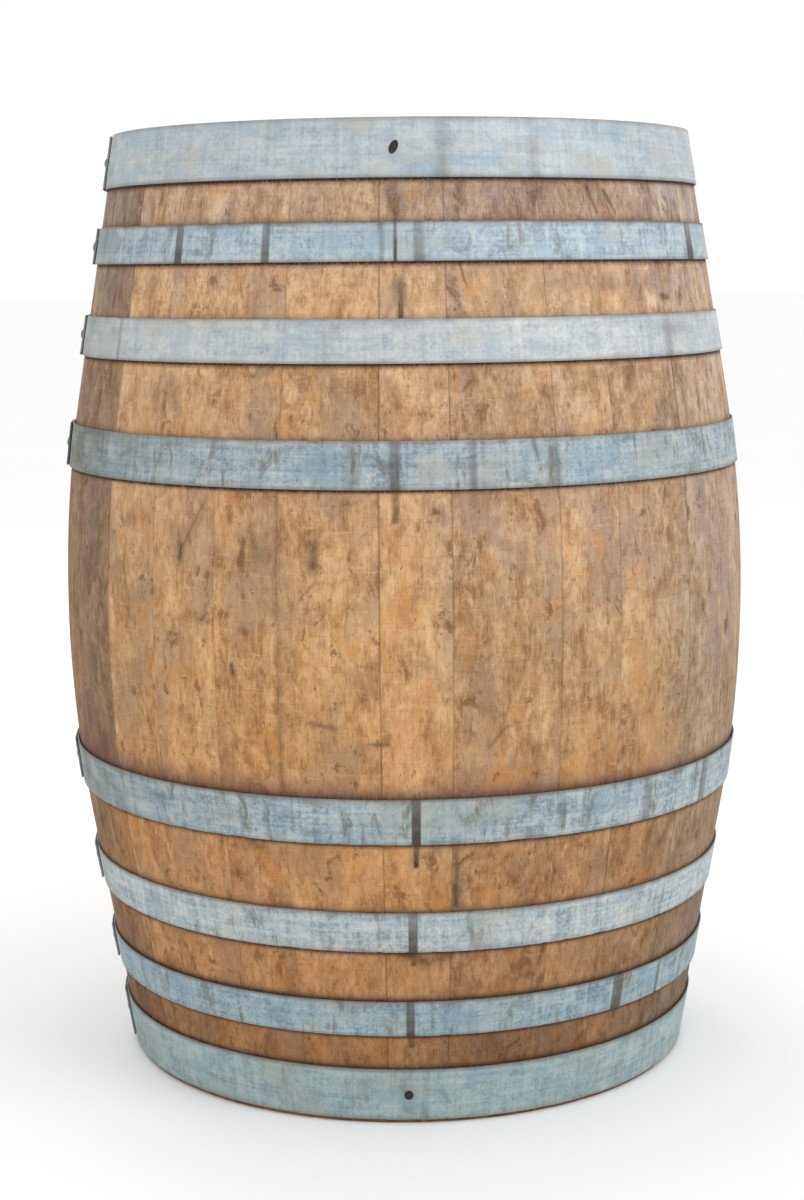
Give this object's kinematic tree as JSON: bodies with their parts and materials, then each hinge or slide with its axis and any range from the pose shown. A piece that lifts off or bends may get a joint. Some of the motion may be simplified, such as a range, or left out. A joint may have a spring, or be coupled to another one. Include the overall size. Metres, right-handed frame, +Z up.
{
  "type": "wine barrel",
  "caption": "Standing oak wine barrel of bowed staves held by riveted galvanised hoops, with a head set in each end and a removable bung at the bilge.",
  "frame": {"origin": "on the barrel's axis, in the plane of the bottom stave ends that it stands on", "axes": "+Z up along the barrel's axis, -Y towards the front, +Y out through the bung hole, -X towards the hoop laps"},
  "size_m": [0.692, 0.7029, 0.93],
  "materials": {
    "stave_oak": "weathered oak, sanded, unvarnished",
    "head_oak": "weathered oak, wine-stained at the rim",
    "oak_dowel": "plain oak",
    "rush": "dried rush, matte",
    "galvanised_hoop": "galvanised, weathered, mottled",
    "steel_rivet": "dull steel",
    "iron_nail": "dark oxidised iron",
    "silicone": "satin silicone"
  },
  "bodies": {
    "barrel": {"stave_01": "stave_oak", "stave_02": "stave_oak", "stave_03": "stave_oak", "stave_04": "stave_oak", "stave_05": "stave_oak", "stave_06": "stave_oak", "stave_07": "stave_oak", "stave_08": "stave_oak", "stave_09": "stave_oak", "stave_10": "stave_oak", "stave_11": "stave_oak", "stave_12": "stave_oak", "stave_13": "stave_oak", "stave_14": "stave_oak", "stave_15": "stave_oak", "stave_16": "stave_oak", "stave_17": "stave_oak", "stave_18": "stave_oak", "stave_19": "stave_oak", "stave_20": "stave_oak", "stave_21": "stave_oak", "stave_22": "stave_oak", "stave_23": "stave_oak", "stave_24": "stave_oak", "stave_25": "stave_oak", "stave_26": "stave_oak", "stave_27": "stave_oak", "bung_stave": "stave_oak", "top_chime_hoop": "galvanised_hoop", "top_quarter_hoop": "galvanised_hoop", "top_french_hoop": "galvanised_hoop", "top_bilge_hoop": "galvanised_hoop", "bottom_chime_hoop": "galvanised_hoop", "bottom_quarter_hoop": "galvanised_hoop", "bottom_french_hoop": "galvanised_hoop", "bottom_bilge_hoop": "galvanised_hoop", "top_head_board_1": "head_oak", "top_head_board_2": "head_oak", "top_head_board_3": "head_oak", "top_head_board_4": "head_oak", "top_head_board_5": "head_oak", "top_head_board_6": "head_oak", "top_head_board_7": "head_oak", "bottom_head_board_1": "head_oak", "bottom_head_board_2": "head_oak", "bottom_head_board_3": "head_oak", "bottom_head_board_4": "head_oak", "bottom_head_board_5": "head_oak", "bottom_head_board_6": "head_oak", "bottom_head_board_7": "head_oak", "top_hoop_rivets": "steel_rivet", "top_hoop_nails": "iron_nail", "top_head_dowels": "oak_dowel", "top_head_rush": "rush", "bottom_hoop_rivets": "steel_rivet", "bottom_hoop_nails": "iron_nail", "bottom_head_dowels": "oak_dowel", "bottom_head_rush": "rush"},
    "bung": {"bung": "silicone"}
  },
  "joints": [
    {"name": "bung_pull", "type": "slide", "parent": "barrel", "child": "bung", "axis": [0, 1, 0], "range_m": [0, 0.06]}
  ]
}
